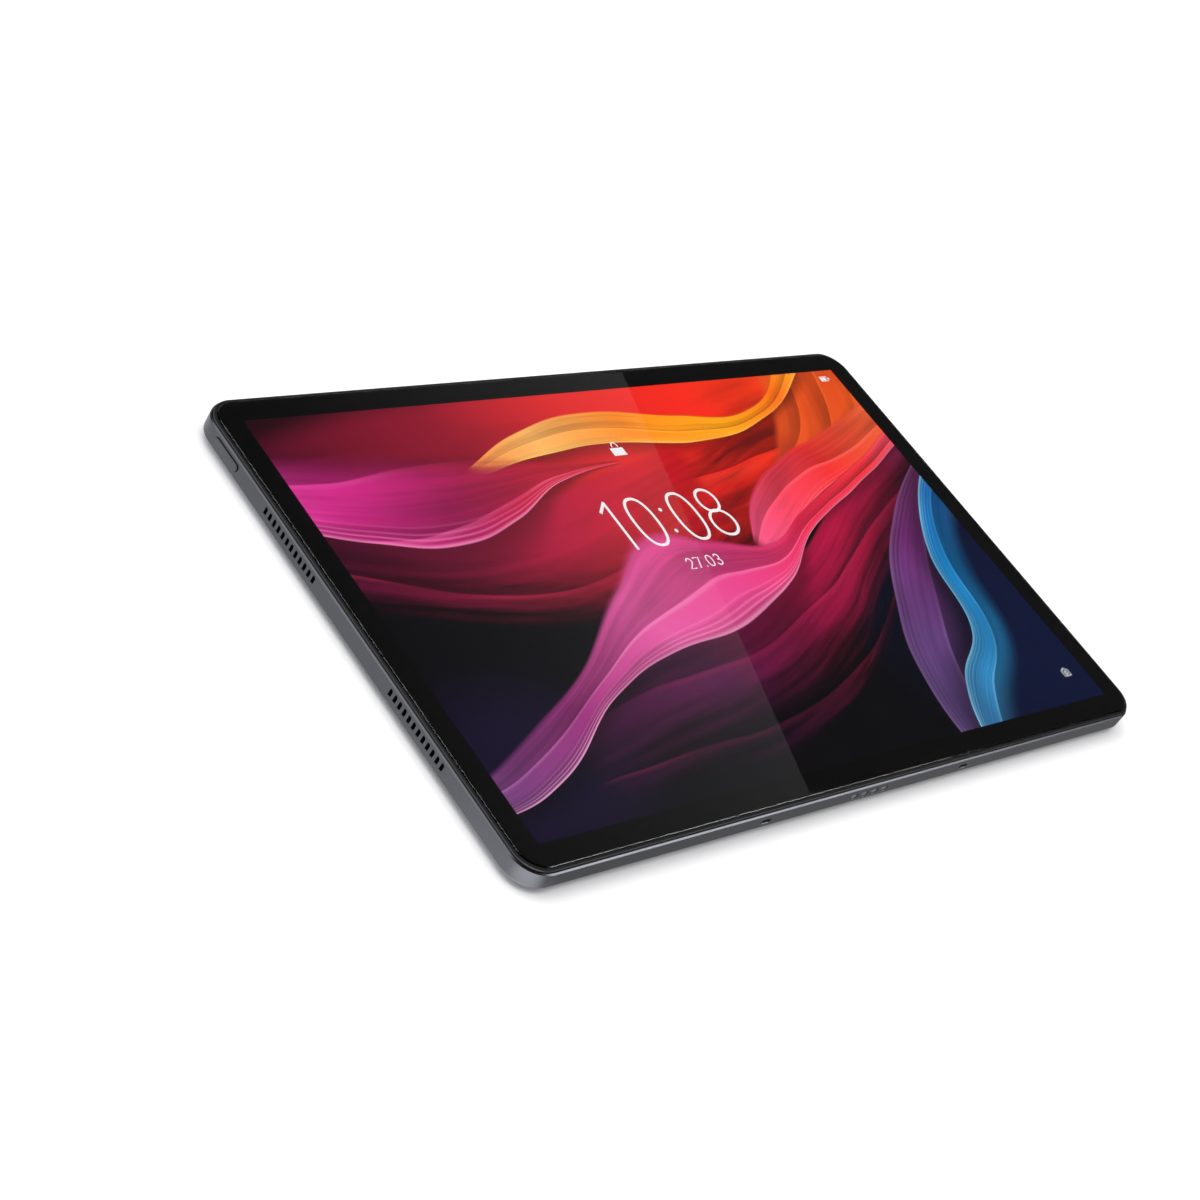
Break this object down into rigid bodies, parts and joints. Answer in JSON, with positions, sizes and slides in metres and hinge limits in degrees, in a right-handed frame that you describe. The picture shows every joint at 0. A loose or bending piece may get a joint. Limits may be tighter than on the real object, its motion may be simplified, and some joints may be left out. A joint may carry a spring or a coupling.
{
  "type": "tablet computer",
  "caption": "Slim metal-bodied tablet computer with a bordered touch display, edge speaker grilles, USB-C port, dock contacts and a raised rear camera plate.",
  "frame": {"origin": "centre of the bounding box, on the surface that the tablet lies on", "axes": "+X along the long edge to the right seen from the front, +Y towards the front camera, +Z out of the display"},
  "size_m": [0.2587, 0.1599, 0.0085],
  "materials": {
    "frame_metal": "satin anodised, polished chamfers",
    "panel_metal": "fine satin anodised",
    "band_metal": "fine satin anodised",
    "break_plastic": "satin",
    "ring_plastic": "satin black",
    "glass_cover": "polished, coated",
    "ink_black": "opaque print",
    "adhesive": "matte",
    "lcd": "lit picture",
    "clear_plastic": "clear",
    "steel_sheet": "rolled sheet",
    "flex": "polyimide film",
    "cast_alloy": "as cast",
    "graphite": "foil",
    "battery_pouch": "laminated foil pouch",
    "board": "solder mask",
    "screw_steel": "zinc plated",
    "island_metal": "gloss anodised, polished bevel",
    "ring_metal": "polished",
    "lens_cover": "polished",
    "black_plastic": "matte black",
    "lens_black": "gloss black",
    "flash_plastic": "frosted",
    "flash_chip": "phosphor",
    "button_metal": "satin anodised",
    "port_steel": "plated",
    "gold": "gold plated",
    "mesh": "woven mesh",
    "magnet": "nickel plated",
    "seal_rubber": "matte"
  },
  "bodies": {
    "body": {"side_frame": "frame_metal", "antenna_rail": "frame_metal", "antenna_breaks": "break_plastic", "display_ring": "ring_plastic", "cover_glass": "glass_cover", "border_ink": "ink_black", "glass_adhesive": "adhesive", "lcd_cell": "lcd", "light_guide": "clear_plastic", "reflector_tray": "steel_sheet", "led_strip": "flash_chip", "display_flex": "flex", "middle_plate": "cast_alloy", "rear_panel": "panel_metal", "rear_band": "band_metal", "graphite_sheet": "graphite", "battery_left": "battery_pouch", "battery_right": "battery_pouch", "battery_board": "board", "main_board": "board", "shield_cans": "steel_sheet", "board_screws": "screw_steel", "usb_board": "board", "board_flex": "flex", "camera_island": "island_metal", "lens_ring": "ring_metal", "lens_glass": "lens_cover", "lens_hood": "black_plastic", "camera_module": "black_plastic", "flash_lens": "flash_plastic", "flash_lamp": "flash_chip", "power_switch": "black_plastic", "volume_switches": "black_plastic", "key_flex": "flex", "card_reader": "steel_sheet", "usb_shell": "port_steel", "usb_tongue": "black_plastic", "usb_contacts": "gold", "speaker_left_front": "black_plastic", "speaker_left_back": "black_plastic", "speaker_right_front": "black_plastic", "speaker_right_back": "black_plastic", "speaker_meshes": "mesh", "dock_contacts": "port_steel", "dock_base": "black_plastic", "dock_liners": "black_plastic", "dock_magnets": "magnet", "front_camera": "lens_black", "light_sensor": "lens_black", "microphones": "gold", "vibration_motor": "steel_sheet", "wifi_antennas": "black_plastic"},
    "power_button": {"power_button": "button_metal"},
    "volume_rocker": {"volume_rocker": "button_metal"},
    "card_tray": {"card_tray": "button_metal", "card_seal": "seal_rubber"},
    "focus_barrel": {"focus_barrel": "lens_black"}
  },
  "joints": [
    {"name": "power_press", "type": "slide", "parent": "body", "child": "power_button", "axis": [1, 0, 0], "range_m": [0, 0.00025], "stiffness_N_per_m": 1500},
    {"name": "volume_rock", "type": "hinge", "parent": "body", "child": "volume_rocker", "pos_m": [-0.098, 0.077, 0.005], "axis": [0, 0, 1], "range_deg": [-1.2, 1.2], "stiffness_Nm_per_rad": 0.05},
    {"name": "tray_slide", "type": "slide", "parent": "body", "child": "card_tray", "axis": [0, 1, 0], "range_m": [0, 0.022]},
    {"name": "focus_slide", "type": "slide", "parent": "body", "child": "focus_barrel", "axis": [0, 0, -1], "range_m": [0, 0.00025], "stiffness_N_per_m": 60}
  ]
}
